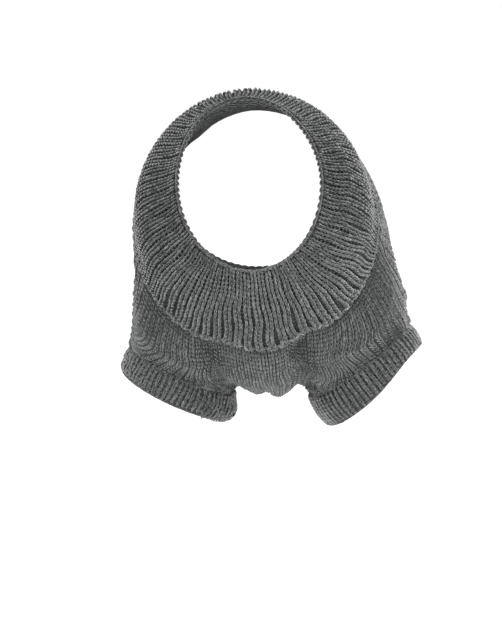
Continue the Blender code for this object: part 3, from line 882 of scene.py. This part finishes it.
def plug(tree, socket, value):
    """Gives an input of a node a value, or the output of another node."""
    if isinstance(value, bpy.types.NodeSocket):
        tree.links.new(value, socket)
    else:
        socket.default_value = value


def node(tree, kind, **inputs):
    made = tree.nodes.new("ShaderNode" + kind)
    for name, value in inputs.items():
        plug(tree, made.inputs[name], value)
    return made


def new_material(name, inputs):
    """A material with these inputs, its node tree and its shader."""
    made = bpy.data.materials.new(name)
    made.use_nodes = True
    shader = made.node_tree.nodes["Principled BSDF"]
    for socket, value in inputs.items():
        plug(made.node_tree, shader.inputs[socket], value)
    return made, made.node_tree, shader


def maths(tree, operation, *values):
    """A Math node: each value is a number or an output of another node."""
    made = node(tree, "Math")
    made.operation = operation
    for socket, value in zip(made.inputs, values):
        plug(tree, socket, value)
    return made.outputs["Value"]


def times(tree, value, factor, *more):
    """value times factor, and more added to it."""
    return maths(tree, "MULTIPLY_ADD" if more else "MULTIPLY", value, factor, *more)


def attribute(tree, name):
    made = node(tree, "Attribute")
    made.attribute_name = name
    return made.outputs["Fac"]


def noise(tree, scale, detail, roughness=0.5, place=None):
    place = place or node(tree, "TexCoord").outputs["Object"]
    made = node(tree, "TexNoise", Scale=scale, Detail=detail, Roughness=roughness, Vector=place)
    return made.outputs["Fac"]


def ramp(tree, value, stops):
    made = node(tree, "ValToRGB", Fac=value)
    elements = made.color_ramp.elements
    for i, (at, colour) in enumerate(stops):
        element = elements[i] if i < 2 else elements.new(at)
        element.position, element.color = at, (*colour, 1.0)
    return made.outputs["Color"]


def coat(tree, shader, colour, height, distance, strength):
    """Gives the shader its colour, and a bump by the height."""
    bump = node(tree, "Bump", Strength=strength, Distance=distance, Height=height)
    plug(tree, shader.inputs["Base Color"], colour)
    plug(tree, shader.inputs["Normal"], bump.outputs["Normal"])


FUZZY = {
    "Roughness": 0.92, "Specular IOR Level": 0.15, "Sheen Weight": 0.8, "Sheen Roughness": 0.4,
    "Sheen Tint": (0.85, 0.87, 0.86, 1.0),
}
DARK_FIBRE = (0.04, 0.043, 0.041)
MID_FIBRE = (0.205, 0.212, 0.205)
LIGHT_FIBRE = (0.56, 0.57, 0.56)
# How finely fibres change along a strand and round it, how steeply they run, how different strands are,
# and the turns of the yarn's plies. Then the shares of all in the colour.
FINE_ALONG, FINE_OVER, SLANT, APART, TWIST = 2.2, 5.0, 3.0, 9.0, 2.5
FIBRES_SCALE, CLUMPS_SCALE = 1.6, 700.0
CLUMPS, FIBRES, PLY, SHADE = 0.54, 0.5, 0.1, 0.045


def yarn_material(name, level, depth):
    """Heather yarn: dark and light fibres lie side by side in it. Where a strand dips behind its
    neighbours, in folds and wherever else less light reaches it, shade is painted on it: it is darker,
    by up to depth. level moves the whole towards dark or light."""
    made, tree, shader = new_material(name, FUZZY)
    over, along, shade = (attribute(tree, value) for value in ("round", "along", "shade"))
    slant = times(tree, along, SLANT, times(tree, over, FINE_OVER))
    place = node(
        tree, "CombineXYZ",
        X=times(tree, along, FINE_ALONG), Y=slant, Z=times(tree, shade, APART),
    )
    fibres = noise(tree, FIBRES_SCALE, 3.0, 0.6, place.outputs["Vector"])
    clumps = noise(tree, CLUMPS_SCALE, 2.0)
    twist = times(tree, along, TWIST, over)
    ply = maths(tree, "ABSOLUTE", maths(tree, "SINE", times(tree, twist, math.pi)))
    mixed = times(tree, clumps, CLUMPS, times(tree, fibres, FIBRES))
    mixed = times(tree, ply, PLY, times(tree, shade, SHADE, mixed))
    # painted shade: the yarn is darker where less light reaches the strand
    sunk = times(tree, attribute(tree, "painted_light"), depth, level - depth)
    mixed = maths(tree, "ADD", mixed, sunk)
    colour = ramp(tree, mixed, [(0.3, DARK_FIBRE), (0.85, LIGHT_FIBRE), (0.56, MID_FIBRE)])
    height = times(tree, fibres, 0.5, ply)
    coat(tree, shader, colour, height, distance=0.0004, strength=0.7)
    return made


def hollow_material(name, light):
    """The cloth that is seen between stitches, from outside, painted dark for the shade deep between
    them. The shallower it lies, the more light is painted on it.
    """
    made, tree, shader = new_material(name, FUZZY)
    stops = [(0.3, (0.018, 0.019, 0.018)), (0.7, (0.06, 0.063, 0.06))]
    stops = [(at, tuple(c * light for c in colour)) for at, colour in stops]
    fibres = noise(tree, 900.0, 3.0)
    coat(tree, shader, ramp(tree, fibres, stops), fibres, distance=0.0003, strength=0.6)
    return made


def reverse_material(name):
    """The wrong side of the knitting: wavy ridges, half a stitch apart, that lock into each other."""
    made, tree, shader = new_material(name, FUZZY)
    swing = maths(tree, "COSINE", times(tree, attribute(tree, "column"), 2 * math.pi))
    phase = times(tree, swing, -0.22, attribute(tree, "row"))
    wave = maths(tree, "COSINE", times(tree, phase, 2 * math.pi))
    ridge = times(tree, wave, 0.5, 0.5)
    fibres = noise(tree, 1500.0, 3.0, 0.65)
    mixed = times(tree, ridge, 0.3, times(tree, fibres, 0.7))
    colour = ramp(tree, mixed, [(0.25, DARK_FIBRE), (0.8, MID_FIBRE)])
    height = times(tree, fibres, 0.25, ridge)
    coat(tree, shader, colour, height, distance=0.0009, strength=0.8)
    return made


knit_yarn = yarn_material("knit_yarn", level=-0.12, depth=0.34)
rib_yarn = yarn_material("rib_yarn", level=-0.1, depth=0.25)
# Painted shade: darker and lighter copies of the cloth between stitches.
hollow = hollow_material("between_stitches", light=0.8)
rib_hollow = hollow_material("between_ribs", light=1.3)
cuff_hollow = hollow_material("between_cuff_ribs", light=1.5)
knit_reverse = reverse_material("knit_reverse")
rib_reverse = reverse_material("rib_reverse")

# ---- Pieces ----


def behind_plain(column, _):
    return np.full(column.shape, BEHIND_PLAIN)


def behind_ribs(p):
    def height(column, share):
        ridge = 0.5 - 0.5 * np.cos(2 * math.pi * column)
        return p["groove"] + (ridge_height(p, share) - BEHIND_RIDGE - p["groove"]) * ridge**RIDGE_EDGE

    return height


def panel(name, middle, columns, parts, steps, rows, seed):
    """A panel of the body: its backing, of so many steps and rows, and its stitches in parts."""
    knit, slot = panel_cloth(middle, columns), "plain_knit"
    finishes = [hollow, knit_reverse]
    cloth = backing(name + "_cloth", knit, columns, steps, rows, behind_plain, False, finishes)
    ends = [round(columns * k / len(parts)) for k in range(len(parts) + 1)]
    pieces = []
    for k, part in enumerate(parts):
        stitches = plain_stitches(knit, columns, ends[k], ends[k + 1], rng)
        pieces.append(yarn_object(f"{name}_stitches_{part}", stitches, knit_yarn, seed + k))
    return cloth, pieces


def rib_band(name, knit, count, p, between, chains, steps, rows, seed):
    """A ribbed band: its backing, and its stitches with chains of links along its edges."""
    slot, finishes = "rib_knit", [between, rib_reverse]
    height = behind_ribs(p)
    cloth = backing(name + "_cloth", knit, count, count * steps, rows, height, True, finishes)
    stitches = rib_stitches(knit, count, rng, p)
    stitches += [chain(knit, count, rng, links) for links in chains]
    return cloth, [yarn_object(name + "_stitches", stitches, rib_yarn, seed)]


rng = np.random.default_rng(2)
made = {
    "back": panel("back", 1, BACK_COLUMNS, ("left", "right"), steps=44, rows=80, seed=0),
    "front": panel(
        "front", 0, FRONT_COLUMNS, ("right", "middle", "left"), steps=74, rows=110, seed=2
    ),
    "collar": rib_band(
        "collar", collar_cloth(), RIBS, COLLAR_RIB, rib_hollow, (SEAM_CHAIN, EDGE_CHAIN),
        steps=6, rows=16, seed=6,
    ),
    "hem": rib_band(
        "hem", hem_cloth(), RIBS, HEM_RIB, rib_hollow, (HEM_CHAIN, EDGE_CHAIN),
        steps=4, rows=6, seed=7,
    ),
}
for seed, (name, leg) in enumerate(LEGS.items(), 8):
    p = SCRUNCHED_RIB if leg["side"] < 0 else CUFF_RIB
    made[name] = rib_band(
        name, cuff_cloth(leg), CUFF_RIBS, p, cuff_hollow, (EDGE_CHAIN,), steps=4, rows=8, seed=seed
    )
cut_for_legs(made["front"][0])

# The CAD node that each cloth replaces, and as a sheet its flat size and area, how it is held, and what
# it rests on.
SHEETS = {
    "front": ("front_panel", (0.290, 0.360), 0.0746, "draped", ["back_cloth", "collar_cloth"]),
    "back": ("back_panel", (0.250, 0.310), 0.0611, "draped", ["collar_cloth"]),
    "collar": ("collar", (0.466, 0.050), 0.0180, "stretched", ["back_cloth"]),
    "hem": ("hem_band", (0.420, 0.026), 0.0091, "draped", ["back_cloth"]),
    "cuff_left": ("cuff_left", (0.205, 0.020), 0.00356, "stretched", ["front_cloth"]),
    "cuff_right": ("cuff_right", (0.205, 0.020), 0.00304, "stretched", ["front_cloth"]),
}
for name, (part, flat, area, held, rests_on) in SHEETS.items():
    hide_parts(part)

# ---- Floor, light and camera ----


def floor():
    """Pale, and lighter beyond the far edge of the table that the garment stands on."""
    finish, tree, shader = new_material("floor", FLOOR_FINISH)
    place = node(tree, "SeparateXYZ", Vector=node(tree, "TexCoord").outputs["Object"])
    beyond = maths(tree, "GREATER_THAN", place.outputs["Y"], TABLE_EDGE)
    plug(tree, shader.inputs["Emission Strength"], times(tree, beyond, BEYOND_GLOW, TABLE_GLOW))
    mesh = bpy.data.meshes.new("floor")
    places = ((-1, -1), (1, -1), (1, 1), (-1, 1))
    corners = [(x * FLOOR_HALF, y * FLOOR_HALF, FLOOR_Z) for x, y in places]
    mesh.from_pydata(corners, [], [(0, 1, 2, 3)])
    mesh.materials.append(finish)
    new_object("floor", mesh)


def soft_light(name, place, size, power):
    data = bpy.data.lights.new(name, "AREA")
    data.shape, data.size, data.energy = "DISK", size, power
    made = new_object(name, data)
    made.location = place
    made.rotation_euler = (Vector(place) - Vector(LIGHTS_AIM)).to_track_quat("Z", "Y").to_euler()


floor()
scene = bpy.context.scene
world = bpy.data.worlds.new("studio")
world.use_nodes = True
tree = world.node_tree
split = node(tree, "SeparateXYZ", Vector=node(tree, "TexCoord").outputs["Generated"])
high = [(0.3, (1.0, 1.0, 1.0)), (0.55, (OVERHEAD, OVERHEAD, OVERHEAD))]
background = tree.nodes["Background"].inputs
plug(tree, background["Color"], ramp(tree, split.outputs["Z"], high))
plug(tree, background["Strength"], 1.0)
scene.world = world
scene.view_settings.view_transform = "Standard"
soft_light("key", (0.4, -0.8, 1.1), size=0.9, power=11.5)
soft_light("fill", (-0.75, -0.7, 0.35), size=0.8, power=1.9)
soft_light("left_rim", (0.95, 0.3, 0.2), size=0.5, power=6.5)
soft_light("right_rim", (-0.95, 0.3, 0.2), size=0.5, power=2.5)

target = Vector(CAMERA_TARGET)
back_off = Vector((0.0, -math.cos(CAMERA_ELEVATION), math.sin(CAMERA_ELEVATION)))
camera = new_object("camera", bpy.data.cameras.new("camera"))
camera.location = target + back_off * CAMERA_DISTANCE
camera.rotation_euler = back_off.to_track_quat("Z", "Y").to_euler()
camera.data.sensor_width = SENSOR
camera.data.lens = SENSOR / IMAGE_HEIGHT * PIXELS_PER_METRE * CAMERA_DISTANCE
camera.data.clip_start = 0.01
scene.camera = camera

bpy.context.view_layer.update()
